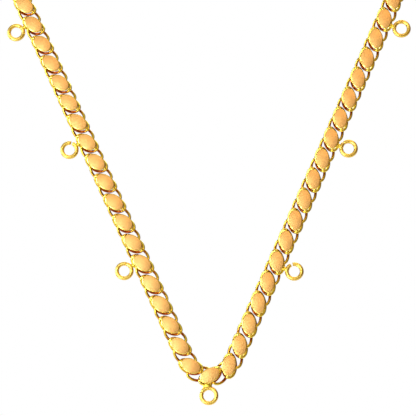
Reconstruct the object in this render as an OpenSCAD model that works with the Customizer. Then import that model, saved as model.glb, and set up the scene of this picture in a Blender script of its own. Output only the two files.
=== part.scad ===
// Coin chain: a gold-coloured necklace of twisted oval links with satin oval plates and seven small
// coin rings. Millimetres, Z up, the wearer faces -Y, and the origin is where the clasp sits at the
// nape. The loop is shown as worn: two straight strands meet at the front and lean back with the chest.

/* [What to show] */
// Name of one piece, or all of them

/* [Loop] */
// Distance along the chain from one link to the next
pitch = 3.3; // [3.2:0.05:3.4]
// Angle of each front strand from upright, in the plane of the chest
strand_angle = 24.2; // [20:0.1:28]
// Lean of the front strands away from upright
chest_lean = 18; // [10:1:25]
// Links from the bottom of the loop to the top of a front strand
strand_links = 40; // [38:1:44]
// Number of the last link on each side, counted from the bottom of the loop
last_link = 73; // [71:2:75]
// Way from the top of a strand back to the nape
back_reach = 64; // [60:1:68]
// Way from the top of a strand up to the nape
back_rise = 40; // [36:1:42]
// How far the rounded part of the route holds the strand's own direction
shoulder_hold = 38; // [34:1:45]
// How far the route runs straight across at the nape
nape_hold = 66; // [59:1:68]
// Way that the links' faces point at the nape, up from straight back
nape_face = 25; // [10:1:40]
// Turn from each of the lowest links to the next, from the middle outwards
bend = [27, 26, 11]; // [0:0.5:30]
// Distance between the lowest links, which sit a little closer in the bend
bend_pitch = [3.1, 3.15, 3.25]; // [3.1:0.05:3.3]

/* [Links] */
// Diameter of the round wire that the links are bent from
wire = 0.8; // [0.7:0.02:0.8]
// Half length of a link along the chain, where it crosses the middle line, to the middle of its wire
link_a = 2.75; // [2.6:0.05:2.75]
// The same for the links in the bend at the front
bend_link_a = 2.6; // [2.5:0.05:2.6]
// Half width of a link, to the middle of its wire
link_b = 2.4; // [2.35:0.05:2.45]
// Slant of a link, as the way that the middle of its side leans along the chain over its half width
link_slant = 0.65; // [0.6:0.01:0.7]
// Twist of a link that carries a plate, as the height of its ends
plated_twist = 0.9; // [0.85:0.05:0.95]
// Twist of a bare link, as the height of its ends
bare_twist = 0.65; // [0.6:0.05:0.7]
// Twist of the bare links in the bend at the front, which are pulled open further
bend_twist = 0.9; // [0.85:0.05:0.95]
// Corners of a link's flat-sided oval
link_corners = 10; // [10:2:12]
// Angle of the first corner, which puts two of them on the link's raised ends
corner_from = 10; // [0:1:35]
// How much larger the flat-sided oval is made, to reach as far as a round one
link_grow = 1.02; // [1:0.01:1.03]
// Flats round the wire
wire_sides = 5; // [5:1:6]

/* [Plates] */
// Length of a plate
plate_length = 6.1; // [5.4:0.1:6.2]
// Width of a plate
plate_width = 4.1; // [3.6:0.1:4.2]
// Turn of a plate against the chain
plate_turn = 28; // [20:1:35]
// Height of a plate's underside above the middle of the chain
plate_lift = 1.45; // [1.4:0.01:1.5]
// Thickness of a plate at its middle
plate_thickness = 0.62; // [0.5:0.02:0.8]
// Radius of the dome on a plate's face
plate_dome = 13; // [10:0.5:20]
// Radius of the solder under each tip of a plate
pad_radius = 0.42; // [0.36:0.02:0.44]
// Place of that solder, along and across the link
pad_at = [2.62, 1.48]; // [1.4:0.01:2.8]
// Height at which that solder starts, inside the link's wire
pad_from = 0.75; // [0.7:0.01:0.85]
// How far that solder reaches into the plate
pad_into = 0.15; // [0.1:0.01:0.3]

/* [Coin rings] */
// Outer diameter of a coin ring
ring_outer = 5.4; // [5:0.1:6]
// Diameter of a coin ring's wire
ring_wire = 1.14; // [1.04:0.02:1.2]
// Distance from the chain's middle to a ring's middle
ring_out = 5.6; // [5.5:0.05:5.8]
// How far a ring's middle lies along the chain from its link's middle, towards where the link bulges
ring_shift = -0.4; // [-0.6:0.05:-0.3]
// The same for the solder that joins it to its link
solder_shift = -0.8; // [-1.1:0.05:-0.7]
// Links from one ring to the next
ring_every = 12; // [8:2:16]
// Joints of the rings, bottom, left low to high, right low to high: where, from the way of the chain
ring_joint = [153, 141, 138, 114, 44, 63, 51]; // [0:1:359]
// How far each of those joints stands open, none where the ends are closed against each other
joint_gap = [0, 0, 0.45, 0, 0.55, 0.2, 0]; // [0:0.05:0.6]
// Diameter of the neck of solder that joins a ring to its link
solder = 1; // [0.8:0.05:1]
// How far that neck reaches into the ring and into the link's wire
solder_into = [0.15, 0.2]; // [0.05:0.01:0.3]

/* [Clasp] */
// Diameter of the S-shaped hook's wire
hook_wire = 1.1; // [0.9:0.05:1.3]
// Radius of each eye of the hook, to the middle of its wire
hook_eye = 2.4; // [2.2:0.1:2.6]
// Half length of the hook, to the middle of its wire
hook_half = 11.75; // [11.7:0.05:11.8]
// Part of a full turn that each eye is bent through
hook_turn = 285; // [270:5:295]
// Diameter of the rounded ends of the hook's wire
hook_tip = 1.15; // [1.12:0.01:1.2]

/* [Hidden] */
gold = "#d8b030";
satin = "#f0bc7c";
r_wire = wire / 2;
bends = concat(bend, [90 - strand_angle - bend[0] - bend[1] - bend[2]]);

function unit(v) = v / norm(v);

// Chest plane: across is X, up the slope is Y and Z together, and its face looks forward and up.
slope = [0, sin(chest_lean), cos(chest_lean)];
chest_face = [0, -cos(chest_lean), sin(chest_lean)];
function turned(k) = k <= 0 ? 0 : turned(k - 1) + (k <= len(bends) ? bends[k - 1] : 0);
function stride(k) = k < len(bend_pitch) ? bend_pitch[k] : pitch;
function way(k) = (turned(k) + turned(k + 1)) / 2;
function flat(k) = k <= 0 ? [0, 0] : flat(k - 1) + stride(k - 1) * [cos(way(k - 1)), sin(way(k - 1))];
function on_chest(p) = [p[0], 0, 0] + p[1] * slope;

// The rounded part of the route, from the top of a strand over the shoulder to the nape.
top = on_chest(flat(strand_links));
top_dir = on_chest([sin(strand_angle), cos(strand_angle)]);
nape = [0, top[1] + back_reach, top[2] + back_rise];
route = [top, top + shoulder_hold * top_dir, nape + [nape_hold, 0, 0], nape];
function bez(t) = pow(1 - t, 3) * route[0] + 3 * t * pow(1 - t, 2) * route[1]
    + 3 * t * t * (1 - t) * route[2] + pow(t, 3) * route[3];
function bez_dir(t) = unit(pow(1 - t, 2) * (route[1] - route[0])
    + 2 * t * (1 - t) * (route[2] - route[1]) + t * t * (route[3] - route[2]));
steps = 200;
lengths = [for (i = 0, s = 0; i <= steps; i = i + 1,
    s = s + (i <= steps ? norm(bez(i / steps) - bez((i - 1) / steps)) : 0)) [s, i / steps]];
round_length = lengths[steps][0];

// Where link k of the right side stands: its middle, the way along the chain and the way it faces.
function share(k) = lookup((k - strand_links) * pitch, lengths);
function round_share(k) = (k - strand_links) * pitch / round_length;
function face_angle(k) = (180 - chest_lean) * (1 - round_share(k)) + nape_face * round_share(k);
function spot(k) = (k <= strand_links ? on_chest(flat(k)) : bez(share(k))) - nape;
function along(k) = k <= strand_links
    ? on_chest([cos(turned(k)), sin(turned(k))]) : bez_dir(share(k));
function facing(k) = k <= strand_links ? chest_face
    : let (g = [0, cos(face_angle(k)), sin(face_angle(k))], t = along(k)) unit(g - (g * t) * t);

// Stands its children at link k. Negative links are on the left, where the chain runs downwards.
module at_link(k) {
    m = abs(k);
    p = spot(m);
    t = along(m);
    f = facing(m);
    x = k < 0 ? [t[0], -t[1], -t[2]] : t;
    z = k < 0 ? [-f[0], f[1], f[2]] : f;
    y = cross(z, x);
    o = k < 0 ? [-p[0], p[1], p[2]] : p;
    multmatrix([[x[0], y[0], z[0], o[0]], [x[1], y[1], z[1], o[1]], [x[2], y[2], z[2], o[2]],
                [0, 0, 0, 1]]) children();
}

// A link's wire: an oval that slants across the chain, with its two ends standing forward.
half_wide = link_grow * link_b;
half_slant = link_slant * half_wide;
function in_bend(k) = abs(k) < 6;
function half_long(k) = link_grow * (in_bend(k) ? bend_link_a : link_a);
function wire_mid(q, l, h) = [l * cos(q) + half_slant * sin(q), half_wide * sin(q), h * sin(2 * q)];
function wire_dir(q, l, h) = unit([half_slant * cos(q) - l * sin(q), half_wide * cos(q), 2 * h * cos(2 * q)]);
function wire_point(q, e, l, h) =
    let (t = wire_dir(q, l, h), u = unit(cross(t, [0, 0, 1])), v = cross(u, t))
    wire_mid(q, l, h) + r_wire * (cos(e) * v + sin(e) * u);
module link_wire(k, h) {
    n = link_corners;
    m = wire_sides;
    l = half_long(k);
    polyhedron(
        [for (i = [0 : n - 1], j = [0 : m - 1]) wire_point(corner_from + 360 * i / n, 360 * j / m, l, h)],
        [for (i = [0 : n - 1], j = [0 : m - 1], s = [0, 1])
            let (a = i * m + j, b = i * m + (j + 1) % m,
                 c = ((i + 1) % n) * m + (j + 1) % m, d = ((i + 1) % n) * m + j)
            s == 0 ? [a, c, b] : [a, d, c]]);
}

// A domed oval plate, soldered at its two tips to the ends of its link, which stand forward.
module plate() {
    intersection() {
        translate([0, 0, plate_lift]) rotate([0, 0, plate_turn]) linear_extrude(plate_thickness)
            polygon([for (i = [0 : 23]) [plate_length / 2 * cos(15 * i), plate_width / 2 * sin(15 * i)]]);
        translate([0, 0, plate_lift + plate_thickness - plate_dome]) sphere(plate_dome, $fn = 200);
    }
    for (s = [-1, 1]) translate([s * pad_at[0], s * pad_at[1], pad_from])
        cylinder(r = pad_radius, h = plate_lift + pad_into - pad_from, $fn = 24);
}

module plated_link(k) {
    color(gold) link_wire(k, plated_twist);
    color(satin) plate();
}

module bare_link(k) color(gold) link_wire(k, in_bend(k) ? bend_twist : bare_twist);

// A coin ring of wire bent round to meet itself, and the solder that holds it to the outer side of its
// link. Ring n is counted as in ring_joint.
module coin_ring(n) color(gold) {
    ring_mid = (ring_outer - ring_wire) / 2;
    open = joint_gap[n] / ring_mid * 180 / PI;
    from = -ring_out + ring_mid - solder_into[0];
    translate([ring_shift, -ring_out, 0]) rotate([0, 0, ring_joint[n] + open / 2])
        rotate_extrude(angle = 360 - open, $fn = 64) translate([ring_mid, 0]) circle(ring_wire / 2, $fn = 24);
    translate([solder_shift, from, 0]) rotate([-90, 0, 0])
        cylinder(d = solder, h = solder_into[1] - link_b - from, $fn = 32);
}

module ring_link(n) {
    k = n == 0 ? 0 : n < 4 ? -n * ring_every : (n - 3) * ring_every;
    at_link(k) {
        plated_link(k);
        coin_ring(n);
    }
}

module side(s) for (i = [1 : last_link])
    if (i % 2 == 1) at_link(s * i) bare_link(i);
    else if (i % ring_every != 0 || i > 3 * ring_every) at_link(s * i) plated_link(i);

module chain_left() side(-1);
module chain_right() side(1);
module ring_link_bottom() ring_link(0);
module ring_link_left_low() ring_link(1);
module ring_link_left_mid() ring_link(2);
module ring_link_left_high() ring_link(3);
module ring_link_right_low() ring_link(4);
module ring_link_right_mid() ring_link(5);
module ring_link_right_high() ring_link(6);

// The clasp: one wire bent to an S that stands on edge, so that each eye passes through the last link
// of its side. A straight stretch runs between the points where it touches the two eyes.
module clasp_hook() color(gold) rotate([face_angle(last_link), 0, 0]) {
    eye_at = hook_half - hook_eye;
    touch = acos(hook_eye / eye_at);
    reach = sqrt(eye_at * eye_at - hook_eye * hook_eye);
    rotate([0, 0, 90 - touch]) rotate([0, 90, 0])
        cylinder(d = hook_wire, h = 2 * reach, center = true, $fn = 32);
    for (s = [0, 180]) rotate([0, 0, s]) translate([eye_at, 0, 0]) {
        rotate([0, 0, 180 - touch - hook_turn]) rotate_extrude(angle = hook_turn, $fn = 64)
            translate([hook_eye, 0]) circle(d = hook_wire, $fn = 24);
        for (e = [0, hook_turn]) rotate([0, 0, 180 - touch - e])
            translate([hook_eye, 0, 0]) sphere(d = hook_tip, $fn = 32);
    }
}

chain_left();
chain_right();
ring_link_bottom();
ring_link_left_low();
ring_link_left_mid();
ring_link_left_high();
ring_link_right_low();
ring_link_right_mid();
ring_link_right_high();
clasp_hook();
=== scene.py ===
import math

import bpy
import numpy as np
from mathutils import Euler, Matrix, Vector


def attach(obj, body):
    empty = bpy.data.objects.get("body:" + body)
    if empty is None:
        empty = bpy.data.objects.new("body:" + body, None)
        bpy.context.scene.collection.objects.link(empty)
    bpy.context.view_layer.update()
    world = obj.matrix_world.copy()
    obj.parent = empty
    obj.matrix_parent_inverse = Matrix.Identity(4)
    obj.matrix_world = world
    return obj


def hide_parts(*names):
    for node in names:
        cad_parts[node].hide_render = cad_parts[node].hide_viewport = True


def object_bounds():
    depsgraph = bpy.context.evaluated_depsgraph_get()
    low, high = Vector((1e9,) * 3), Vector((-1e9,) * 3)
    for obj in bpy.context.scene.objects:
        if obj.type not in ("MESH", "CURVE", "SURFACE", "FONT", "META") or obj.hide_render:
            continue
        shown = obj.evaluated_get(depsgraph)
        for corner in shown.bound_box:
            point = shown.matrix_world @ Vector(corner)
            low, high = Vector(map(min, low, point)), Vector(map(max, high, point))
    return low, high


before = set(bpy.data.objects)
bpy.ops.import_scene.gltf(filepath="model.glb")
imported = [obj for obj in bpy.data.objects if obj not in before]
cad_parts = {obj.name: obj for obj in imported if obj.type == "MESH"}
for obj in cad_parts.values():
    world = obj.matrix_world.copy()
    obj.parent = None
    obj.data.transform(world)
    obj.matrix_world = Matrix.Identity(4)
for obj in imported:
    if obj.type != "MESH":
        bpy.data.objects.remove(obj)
solid_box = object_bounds()

# Links of the chain.
# Each one is a piece of round gold wire, bent to an oval that slants across the chain and is twisted so
# that its two ends stand forward. It passes through its two neighbours, and its joint is soldered shut.
MM = 0.001
PITCH = 3.3
WIRE = 0.8
LINK_A, BEND_LINK_A, LINK_B, LINK_SLANT = 2.75, 2.6, 2.4, 0.65
PLATED_TWIST, BARE_TWIST, BEND_TWIST = 0.9, 0.65, 0.9
BEND_LINKS = 6
LAST_LINK = 73
RING_EVERY = 12
AROUND_LINK, AROUND_WIRE = 44, 12

# The strands are straight from link 40 down to the few links of the bend, and lean back with the chest.
# Above link 40 the chain runs over the shoulder to the nape, along one curve with four guide points.
STRAND_LINKS = 40
STRAND_ANGLE, CHEST_LEAN, NAPE_FACE = map(math.radians, (24.2, 18, 25))
BEND = list(map(math.radians, (27, 26, 11)))
BEND.append(math.pi / 2 - STRAND_ANGLE - sum(BEND))
BEND_PITCH = [3.1, 3.15, 3.25]
BACK_REACH, BACK_RISE, SHOULDER_HOLD, NAPE_HOLD = 64, 40, 38, 66
CURVE_STEPS = 200


def unit(v):
    return v / np.linalg.norm(v, axis=-1, keepdims=True)


def on_chest(across, up):
    return np.array([across, up * math.sin(CHEST_LEAN), up * math.cos(CHEST_LEAN)])


def turned(k):
    return sum(BEND[:k])


def hung_at(k):
    across = up = 0.0
    for i in range(k):
        stride = BEND_PITCH[i] if i < len(BEND_PITCH) else PITCH
        way = (turned(i) + turned(i + 1)) / 2
        across += stride * math.cos(way)
        up += stride * math.sin(way)
    return on_chest(across, up)


strand_top = hung_at(STRAND_LINKS)
strand_way = on_chest(math.sin(STRAND_ANGLE), math.cos(STRAND_ANGLE))
nape = np.array([0, strand_top[1] + BACK_REACH, strand_top[2] + BACK_RISE])
guides = [strand_top, strand_top + SHOULDER_HOLD * strand_way, nape + [NAPE_HOLD, 0, 0], nape]


def over_shoulder(t):
    t = np.asarray(t)[..., None]
    weights = [(1 - t) ** 3, 3 * t * (1 - t) ** 2, 3 * t * t * (1 - t), t**3]
    return sum(w * g for w, g in zip(weights, guides))


curve_t = np.linspace(0, 1, CURVE_STEPS + 1)
stretches = np.linalg.norm(np.diff(over_shoulder(curve_t), axis=0), axis=1)
curve_run = np.concatenate([[0], np.cumsum(stretches)])


def face_angle(k):
    share = (k - STRAND_LINKS) * PITCH / curve_run[-1]
    return (math.pi - CHEST_LEAN) * (1 - share) + NAPE_FACE * share


def link_frame(k):
    """The middle of link k, and its ways along the chain, across it and out of its face."""
    m = abs(k)
    if m <= STRAND_LINKS:
        middle = hung_at(m)
        along = on_chest(math.cos(turned(m)), math.sin(turned(m)))
        face = np.array([0, -math.cos(CHEST_LEAN), math.sin(CHEST_LEAN)])
    else:
        t = np.interp((m - STRAND_LINKS) * PITCH, curve_run, curve_t)
        near = 1e-4
        middle = over_shoulder(t)
        along = unit(over_shoulder(t + near) - over_shoulder(t - near))
        face = np.array([0, math.cos(face_angle(m)), math.sin(face_angle(m))])
        face = unit(face - (face @ along) * along)
    middle = middle - nape
    if k < 0:
        middle, face = middle * [-1, 1, 1], face * [-1, 1, 1]
        along = along * [1, -1, -1]
    return middle, np.array([along, np.cross(face, along), face])


def set_on(k, points):
    middle, ways = link_frame(k)
    return middle + points @ ways


def skin(rows, closed=False):
    """Points and faces of a surface through rows of points, capped at both ends unless it is closed."""
    count, around = len(rows), len(rows[0])
    row, point = np.meshgrid(np.arange(count if closed else count - 1), np.arange(around), indexing="ij")
    here, there = row * around, (row + 1) % count * around
    beside = (point + 1) % around
    quads = np.stack([here + point, here + beside, there + beside, there + point], axis=-1)
    faces = quads.reshape(-1, 4).tolist()
    if not closed:
        faces.append(list(range(around))[::-1])
        faces.append([(count - 1) * around + p for p in range(around)])
    return np.concatenate(rows), faces


def tube(line, radius, sides, flat, closed=False):
    """A round wire along a line. The plane in which the wire is bent faces the way called flat."""
    if closed:
        along = unit(np.roll(line, -1, axis=0) - np.roll(line, 1, axis=0))
    else:
        along = unit(np.gradient(line, axis=0))
    side = unit(np.cross(along, flat))
    out = np.cross(side, along)
    turn = np.linspace(0, 2 * np.pi, sides, endpoint=False)[None, :, None]
    radius = np.broadcast_to(radius, len(line))[:, None, None]
    rows = line[:, None] + radius * (np.cos(turn) * out[:, None] + np.sin(turn) * side[:, None])
    return skin(rows, closed)


def metal_piece(name, parts, finish, node, marks=None):
    """One smooth-shaded piece from several closed parts, in millimetres, that stands for a node."""
    points, faces, start = [], [], 0
    for part_points, part_faces in parts:
        points.append(part_points)
        faces.extend([[v + start for v in face] for face in part_faces])
        start += len(part_points)
    mesh = bpy.data.meshes.new(name)
    mesh.from_pydata((np.concatenate(points) * MM).tolist(), [], faces)
    mesh.polygons.foreach_set("use_smooth", [True] * len(mesh.polygons))
    for mark, values in (marks or {}).items():
        mesh.attributes.new(mark, "FLOAT", "POINT").data.foreach_set("value", values)
    mesh.materials.append(finish)
    mesh.update()
    piece = bpy.data.objects.new(name, mesh)
    bpy.context.scene.collection.objects.link(piece)
    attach(piece, "root")
    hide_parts(node)


class Tone:
    """A value that varies over a surface. Arithmetic on it adds Math nodes; make() adds any other node."""

    def __init__(self, tree, socket=None):
        self.tree = tree
        self.socket = socket

    def make(self, kind, sockets, out=0, stops=None, **settings):
        node = self.tree.nodes.new(kind)
        for name, value in settings.items():
            setattr(node, name, value)
        if stops:
            ramp = node.color_ramp
            while len(ramp.elements) < len(stops):
                ramp.elements.new(1.0)
            for element, (place, colour) in zip(ramp.elements, stops):
                element.position = place
                element.color = (*colour, 1)
        for name, value in sockets.items():
            if isinstance(value, Tone):
                self.tree.links.new(value.socket, node.inputs[name])
            else:
                node.inputs[name].default_value = value
        return Tone(self.tree, node.outputs[out] if node.outputs else None)

    def maths(self, operation, *values):
        return self.make("ShaderNodeMath", dict(enumerate(values)), operation=operation)

    def __add__(self, other):
        return self.maths("ADD", self, other)

    def __sub__(self, other):
        return self.maths("SUBTRACT", self, other)

    def __rsub__(self, other):
        return self.maths("SUBTRACT", other, self)

    def __mul__(self, other):
        return self.maths("MULTIPLY", self, other)

    __radd__ = __add__
    __rmul__ = __mul__


def new_finish(name):
    """An empty material, and a Tone that starts its recipe."""
    finish = bpy.data.materials.new(name)
    finish.use_nodes = True
    finish.node_tree.nodes.clear()
    return finish, Tone(finish.node_tree)


def grain(start, size, detail=2.0):
    """Even grain with spots of about this size in millimetres, from 0 to 1."""
    place = start.make("ShaderNodeTexCoord", {}, out="Object")
    sockets = {"Vector": place, "Scale": 1 / (size * MM), "Detail": detail}
    return start.make("ShaderNodeTexNoise", sockets, out="Fac")


def marked(start, mark):
    return start.make("ShaderNodeAttribute", {}, out="Fac", attribute_name=mark)


def mixed(start, share, first, second):
    first, second = (c if isinstance(c, Tone) else (*c, 1) for c in (first, second))
    return start.make("ShaderNodeMix", {0: share, 6: first, 7: second}, out=2, data_type="RGBA")


def polish(start, colour, roughness, bump, depth):
    """Closes a metal's recipe. The bump is this many millimetres deep."""
    normal = start.make("ShaderNodeBump", {"Height": bump, "Distance": depth * MM, "Strength": 1.0})
    shader = start.make(
        "ShaderNodeBsdfPrincipled",
        {"Base Color": colour, "Roughness": roughness, "Normal": normal, "Metallic": 1.0},
    )
    start.make("ShaderNodeOutputMaterial", {"Surface": shader})


# The gold is bright and yellow where it is rubbed and deeper between. Where it lies back deep in the chain,
# a dark red painted shade covers it.
WIRE_BRIGHT, WIRE_DEEP, WIRE_SHADE_RED = (1.0, 0.87, 0.16), (0.97, 0.73, 0.05), (0.40, 0.08, 0.005)
wire_gold, recipe = new_finish("wire_gold")
patches = grain(recipe, 1.4)
drawn = grain(recipe, 0.15, detail=3.0)
painted_shade = marked(recipe, "painted_shade")
polish(
    recipe,
    mixed(recipe, painted_shade, mixed(recipe, patches, WIRE_DEEP, WIRE_BRIGHT), WIRE_SHADE_RED),
    0.12 + 0.12 * patches + 0.15 * painted_shade,
    drawn,
    0.004,
)

# The painted shade is strongest where a link's wire lies back along the middle of the chain and deep in it.
# This dark red painted shade is full on the wire's front, and fades from its sides to its back, which keeps
# the plain gold.
BARE_PAINTED_SHADE, PLATED_PAINTED_SHADE = 2.5, 2.0
PAINTED_SHADE_LOST_ACROSS, PAINTED_SHADE_LOST_UP = 0.8, 0.6
PAINTED_SHADE_ON_SIDES = 0.9


def link_wire(k):
    in_bend = abs(k) < BEND_LINKS
    plated = k % 2 == 0
    if plated:
        twist = PLATED_TWIST
    else:
        twist = BEND_TWIST if in_bend else BARE_TWIST
    turn = np.linspace(0, 2 * np.pi, AROUND_LINK, endpoint=False)
    along = (BEND_LINK_A if in_bend else LINK_A) * np.cos(turn) + LINK_SLANT * LINK_B * np.sin(turn)
    line = np.stack([along, LINK_B * np.sin(turn), twist * np.sin(2 * turn)], axis=1)
    points, faces = tube(line, WIRE / 2, AROUND_WIRE, [0, 0, 1], closed=True)
    _, across, up = points.T
    most = PLATED_PAINTED_SHADE if plated else BARE_PAINTED_SHADE
    # The painted shade mask: highest near the chain's middle and deep in it, lower out across the chain and
    # up towards its face.
    painted_shade = np.clip(most - PAINTED_SHADE_LOST_ACROSS * np.abs(across) - PAINTED_SHADE_LOST_UP * up, 0, 1)
    turned_forward = (up - np.repeat(line[:, 2], AROUND_WIRE)) / (WIRE / 2)
    painted_shade *= np.clip(PAINTED_SHADE_ON_SIDES + turned_forward, 0, 1)
    return set_on(k, points), faces, painted_shade


RINGS = {
    "bottom": 0,
    "left_low": -RING_EVERY,
    "left_mid": -2 * RING_EVERY,
    "left_high": -3 * RING_EVERY,
    "right_low": RING_EVERY,
    "right_mid": 2 * RING_EVERY,
    "right_high": 3 * RING_EVERY,
}
ring_links = set(RINGS.values())
NODE_LINKS = {
    "chain_left": [-k for k in range(1, LAST_LINK + 1) if -k not in ring_links],
    "chain_right": [k for k in range(1, LAST_LINK + 1) if k not in ring_links],
    **{"ring_link_" + name: [k] for name, k in RINGS.items()},
}
for node, links in NODE_LINKS.items():
    wires = [link_wire(k) for k in links]
    # The painted shade mask goes onto each wire piece as a point attribute.
    marks = {"painted_shade": np.concatenate([painted_shade for _, _, painted_shade in wires])}
    metal_piece(node + "_wire", [wire[:2] for wire in wires], wire_gold, node, marks)

# Plates.
# Each is an oval blank struck to a low dome, with a fine matt face and a burnished bevel round its edge.
# It lies along the slant of its link and is soldered to the link's two ends, which stand forward.
PLATE_LENGTH, PLATE_WIDTH = 6.1, 4.1
PLATE_TURN = math.radians(28)
PLATE_LIFT, PLATE_THICKNESS, PLATE_DOME = 1.45, 0.62, 13
BEVEL_WIDTH, BEVEL_DROP, BEVEL_STEP = 0.2, 0.12, 0.01
BACK_ROUNDING, BEVEL_ROUNDING = 0.06, 0.04
BACK_ROW, FACE_ROWS = 0.5, (0.97, 0.85, 0.68, 0.5, 0.3, 0.12)
AROUND_PLATE = 48
PAD_AT, PAD_RADIUS, PAD_FROM, PAD_INTO = (2.62, 1.48), 0.42, 0.75, 0.1
PAD_FLARE = np.array([0.8, 0.95, 1, 1.05, 1.1])
AROUND_PAD = 16


def dome_height(x, y):
    return PLATE_LIFT + PLATE_THICKNESS - PLATE_DOME + np.sqrt(PLATE_DOME**2 - x * x - y * y)


def plate():
    """Rows of points from the middle of the underside, round the edge, to the middle of the face."""
    turn = np.linspace(0, 2 * np.pi, AROUND_PLATE, endpoint=False)
    half = np.stack([np.cos(turn) * PLATE_LENGTH / 2, np.sin(turn) * PLATE_WIDTH / 2], axis=1)
    inward = -unit(np.stack([np.cos(turn) / PLATE_LENGTH, np.sin(turn) / PLATE_WIDTH], axis=1))
    rows, rim = [], []

    def row(flat, height, mark):
        rows.append(np.column_stack([flat, np.broadcast_to(height, len(flat))]))
        rim.extend([mark] * len(flat))

    row(half * BACK_ROW, PLATE_LIFT, 0.0)
    row(half + BACK_ROUNDING * inward, PLATE_LIFT, 1.0)
    row(half, PLATE_LIFT + BACK_ROUNDING, 1.0)
    edge = dome_height(*half.T) - BEVEL_DROP
    row(half, edge - BEVEL_ROUNDING, 1.0)
    row(half + BEVEL_ROUNDING * inward, edge, 1.0)
    inner = half + BEVEL_WIDTH * inward
    row(inner, dome_height(*inner.T) - BEVEL_STEP, 1.0)
    for share in FACE_ROWS:
        row(inner * share, dome_height(*(inner * share).T), 0.0)
    points, faces = skin(rows)
    c, s = math.cos(PLATE_TURN), math.sin(PLATE_TURN)
    points[:, :2] = points[:, :2] @ np.array([[c, s], [-s, c]])
    return points, faces, rim


def pad(sign):
    """The solder between one tip of a plate and its link."""
    line = np.array([[sign * PAD_AT[0], sign * PAD_AT[1], 0]] * len(PAD_FLARE))
    line[:, 2] = np.linspace(PAD_FROM, PLATE_LIFT + PAD_INTO, len(PAD_FLARE))
    points, faces = tube(line, PAD_RADIUS * PAD_FLARE, AROUND_PAD, [1, 0, 0])
    return points, faces, [1.0] * len(points)


SATIN_PALE, SATIN_PEACH, RIM_GOLD = (1.0, 0.66, 0.24), (0.97, 0.54, 0.175), (1.0, 0.78, 0.18)
satin_plate, recipe = new_finish("satin_plate")
fine = grain(recipe, 0.09, detail=3.0)
broad = grain(recipe, 2.2)
stipple = grain(recipe, 0.22)
rim_mark = marked(recipe, "rim")
own_tone = marked(recipe, "own_tone")
satin = mixed(recipe, 0.3 * broad + 0.4 * own_tone + 1.2 * stipple - 0.45, SATIN_PEACH, SATIN_PALE)
polish(
    recipe,
    mixed(recipe, rim_mark, satin, RIM_GOLD),
    0.46 - 0.24 * rim_mark + 0.06 * fine,
    fine * (1 - rim_mark),
    0.012,
)

soldered_plate = [plate(), pad(1), pad(-1)]
chance = np.random.RandomState(7)
for node, links in NODE_LINKS.items():
    parts, rims, tones = [], [], []
    for k in links:
        if k % 2:
            continue
        tone = chance.random_sample()
        for points, faces, rim in soldered_plate:
            parts.append((set_on(k, points), faces))
            rims.extend(rim)
            tones.extend([tone] * len(points))
    marks = {"rim": rims, "own_tone": tones}
    metal_piece(node + "_plates", parts, satin_plate, node, marks)

# Coin rings.
# Jump rings of thicker wire, closed or nearly so, each soldered by its side to the outer edge of a link.
# The saddle of solder reaches from the ring's wire to the link's, and is widest at the bottom ring.
RING_OUTER, RING_WIRE = 5.4, 1.14
RING_OUT, RING_SHIFT = 5.6, -0.4
AROUND_RING, RING_STEPS = 20, 61
RING_TIP = 0.86
SOLDER_WIDTH, BOTTOM_SOLDER_WIDTH, SOLDER_DEPTH, SOLDER_SHIFT = 1.5, 3.1, 1.05, -0.8
SOLDER_INTO_RING, SOLDER_INTO_LINK = 0.25, 0.2
SOLDER_WAIST, SOLDER_TIP = 0.82, 0.6
AROUND_SOLDER, SOLDER_STEPS = 24, 9
ring_mid = (RING_OUTER - RING_WIRE) / 2

# Each ring's joint, as an angle from the way of the chain, and the gap that it leaves. A gap of 0.06 is
# the fine line where the ends are closed against each other.
RING_JOINTS = {
    "bottom": (153, 0.06),
    "left_low": (141, 0.06),
    "left_mid": (138, 0.45),
    "left_high": (114, 0.06),
    "right_low": (44, 0.55),
    "right_mid": (63, 0.2),
    "right_high": (51, 0.06),
}

RING_PALE, RING_DEEP = (1.0, 0.80, 0.22), (0.97, 0.66, 0.10)
ring_gold, recipe = new_finish("ring_gold")
worn = grain(recipe, 1.1)
polish(recipe, mixed(recipe, worn, RING_DEEP, RING_PALE), 0.28 + 0.1 * worn, worn, 0.01)

SOLDER_GOLD = (1.0, 0.80, 0.06)
solder_gold, recipe = new_finish("solder_gold")
lumps = grain(recipe, 0.5)
polish(recipe, mixed(recipe, lumps, WIRE_BRIGHT, SOLDER_GOLD), 0.3 + 0.1 * lumps, lumps, 0.05)


def coin_ring(name):
    joint, gap = RING_JOINTS[name]
    half_gap = gap / 2 / ring_mid
    turn = math.radians(joint) + np.linspace(half_gap, 2 * np.pi - half_gap, RING_STEPS)
    line = np.stack([ring_mid * np.cos(turn), ring_mid * np.sin(turn), 0 * turn], axis=1)
    line += [RING_SHIFT, -RING_OUT, 0]
    radius = np.full(RING_STEPS, RING_WIRE / 2)
    radius[[0, -1]] *= RING_TIP
    return tube(line, radius, AROUND_RING, [0, 0, 1])


def solder(name):
    width = BOTTOM_SOLDER_WIDTH if name == "bottom" else SOLDER_WIDTH
    reach = np.linspace(0, 1, SOLDER_STEPS)[:, None]
    y = (1 - reach) * (ring_mid - RING_OUT - SOLDER_INTO_RING) + reach * (SOLDER_INTO_LINK - LINK_B)
    waist = SOLDER_WAIST + (1 - SOLDER_WAIST) * (2 * reach - 1) ** 2
    waist[[0, -1]] *= SOLDER_TIP
    turn = np.linspace(0, 2 * np.pi, AROUND_SOLDER, endpoint=False)
    x = SOLDER_SHIFT + waist * width / 2 * np.cos(turn)
    z = -waist * SOLDER_DEPTH / 2 * np.sin(turn)
    return skin(np.stack([x, y + 0 * turn, z], axis=-1))


for name, k in RINGS.items():
    node = "ring_link_" + name
    for piece_name, (points, faces), finish in (
        ("coin_ring_" + name, coin_ring(name), ring_gold),
        ("solder_" + name, solder(name), solder_gold),
    ):
        metal_piece(piece_name, [(set_on(k, points), faces)], finish, node)

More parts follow.
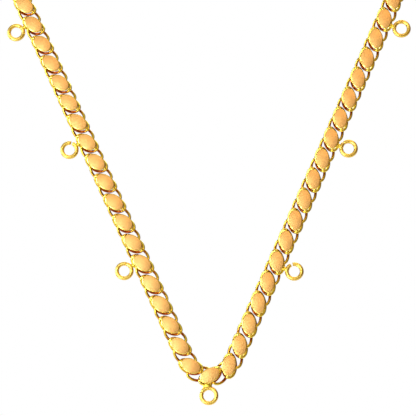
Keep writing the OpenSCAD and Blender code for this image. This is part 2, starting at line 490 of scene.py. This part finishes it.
# Clasp.
# One length of heavier wire bent to an S that stands on edge at the nape, with rounded ends.
# Each eye passes through the last link of its side, so the loop opens by unhooking one of them.
HOOK_WIRE, HOOK_EYE, HOOK_HALF = 1.1, 2.4, 11.75
HOOK_TURN = math.radians(285)
HOOK_STRAIGHT_STEPS, HOOK_EYE_STEPS, AROUND_HOOK = 14, 60, 20
HOOK_TIP = [0.45, 0.8, 0.95]
eye_at = HOOK_HALF - HOOK_EYE
touch = math.acos(HOOK_EYE / eye_at)


def half_hook():
    """From the S's middle, along its straight stretch and round the right-hand eye to its end."""
    turn = math.pi - touch - np.linspace(0, 1, HOOK_EYE_STEPS) * HOOK_TURN
    eye = np.stack([eye_at + HOOK_EYE * np.cos(turn), HOOK_EYE * np.sin(turn)], axis=1)
    straight = eye[0] * np.linspace(0, 1, HOOK_STRAIGHT_STEPS, endpoint=False)[:, None]
    return np.concatenate([straight, eye])


right_half = half_hook()
flat_line = np.concatenate([-right_half[:0:-1], right_half])
tilt = face_angle(LAST_LINK)
on_edge = [0, math.cos(tilt), math.sin(tilt)]
hook_line = np.outer(flat_line[:, 0], [1, 0, 0]) + np.outer(flat_line[:, 1], on_edge)
hook_radius = np.full(len(hook_line), HOOK_WIRE / 2)
hook_radius[: len(HOOK_TIP)] *= HOOK_TIP
hook_radius[-len(HOOK_TIP) :] *= HOOK_TIP[::-1]
hook = tube(hook_line, hook_radius, AROUND_HOOK, [0, -math.sin(tilt), math.cos(tilt)])
metal_piece("hook", [hook], wire_gold, "clasp_hook")

# Floor and light.
# A pale matt floor lies below the necklace and fades out around it, into air that the camera sees as white.
# The main card stands before it to the left. Two more brighten the wires, one low and one far to the left.
# A warm one hangs high on the right, and one stands behind. The metal reflects a dim, warm room, which is
# darkest just above the horizon.
FLOOR_BELOW = 0.16
FLOOR_HALF = 0.63
FLOOR_FADE = 0.4
mesh = bpy.data.meshes.new("floor")
corners = [(x * FLOOR_HALF, y * FLOOR_HALF, 0) for x, y in ((-1, -1), (1, -1), (1, 1), (-1, 1))]
mesh.from_pydata(corners, [], [(0, 1, 2, 3)])
floor_paint, recipe = new_finish("floor_paint")
matt = grain(recipe, 40.0)
paint = recipe.make(
    "ShaderNodeBsdfPrincipled",
    {"Base Color": mixed(recipe, matt, (0.88, 0.88, 0.88), (0.92, 0.92, 0.92)), "Roughness": 0.9},
)
place = recipe.make("ShaderNodeTexCoord", {}, out="Object")
from_middle = recipe.make("ShaderNodeVectorMath", {0: place}, out="Value", operation="LENGTH")
air = recipe.make("ShaderNodeBsdfTransparent", {})
fade = (FLOOR_HALF - from_middle) * (1 / FLOOR_FADE)
faded = recipe.make("ShaderNodeMixShader", {0: fade, 1: air, 2: paint})
recipe.make("ShaderNodeOutputMaterial", {"Surface": faded})
mesh.materials.append(floor_paint)
floor = bpy.data.objects.new("floor", mesh)
floor.location.z = solid_box[0][2] - FLOOR_BELOW
bpy.context.scene.collection.objects.link(floor)

room = bpy.data.worlds.new("room")
bpy.context.scene.world = room
room.use_nodes = True
room.node_tree.nodes.clear()
recipe = Tone(room.node_tree)
seen = recipe.make("ShaderNodeLightPath", {}, out="Is Camera Ray")
white = recipe.make("ShaderNodeBackground", {"Color": (1, 1, 1, 1), "Strength": 1.0})
way = recipe.make("ShaderNodeTexCoord", {}, out="Generated")
height = recipe.make("ShaderNodeSeparateXYZ", {"Vector": way}, out="Z")
shade = recipe.make(
    "ShaderNodeValToRGB",
    {"Fac": 0.5 + 0.5 * height},
    stops=[
        (0.0, (0.8, 0.64, 0.4)),
        (0.4, (0.36, 0.26, 0.12)),
        (0.55, (0.1, 0.055, 0.02)),
        (1.0, (0.6, 0.55, 0.45)),
    ],
)
dim = recipe.make("ShaderNodeBackground", {"Color": shade, "Strength": 1.0})
both = recipe.make("ShaderNodeMixShader", {0: seen, 1: dim, 2: white})
recipe.make("ShaderNodeOutputWorld", {"Surface": both})


def card(name, place, aim, size, power, colour=(1, 1, 1)):
    lamp = bpy.data.lights.new(name, "AREA")
    lamp.shape = "RECTANGLE"
    lamp.size, lamp.size_y = size
    lamp.energy = power
    lamp.color = colour
    holder = bpy.data.objects.new(name, lamp)
    holder.location = place
    holder.rotation_euler = (Vector(place) - Vector(aim)).to_track_quat("Z", "Y").to_euler()
    bpy.context.scene.collection.objects.link(holder)


middle_front = (0, -0.08, -0.1)
card("card_main", (-0.3, -0.92, 0.2), middle_front, (0.4, 0.4), 2.5)
card("card_low", (-0.5, -0.7, -0.4), middle_front, (0.25, 0.25), 2.9)
card("card_side", (-0.9, -0.15, 0.0), middle_front, (0.25, 0.6), 6)
card("card_right", (0.3, -0.7, 0.8), middle_front, (0.4, 0.4), 1.7, (1.0, 0.55, 0.25))
card("card_back", (0.0, 0.9, 0.5), (0, 0, -0.05), (0.8, 0.5), 5)

# Camera.
# It stands a little over half a metre before the lowest link, above it and a little to the right. It has a
# long lens and looks slightly down and to the left. The picture leans by about one degree.
CAMERA_ASIDE, CAMERA_BEFORE, CAMERA_ABOVE = 0.0217, 0.5607, 0.1024
LOOK_DOWN, LOOK_LEFT, LEAN = map(math.radians, (5.54, 2.2, 0.94))
FOCAL_IN_FRAMES = 2000 / 416
camera = bpy.data.objects.new("camera", bpy.data.cameras.new("camera"))
lowest = link_frame(0)[0] * MM
camera.location = (CAMERA_ASIDE, lowest[1] - CAMERA_BEFORE, lowest[2] + CAMERA_ABOVE)
looking = Euler((math.pi / 2 - LOOK_DOWN, 0, LOOK_LEFT)).to_matrix() @ Matrix.Rotation(-LEAN, 3, "Z")
camera.rotation_euler = looking.to_euler()
camera.data.lens = camera.data.sensor_width * FOCAL_IN_FRAMES
camera.data.clip_start = 0.01
bpy.context.scene.collection.objects.link(camera)
bpy.context.scene.camera = camera
bpy.context.scene.view_settings.view_transform = "Standard"

bpy.context.view_layer.update()
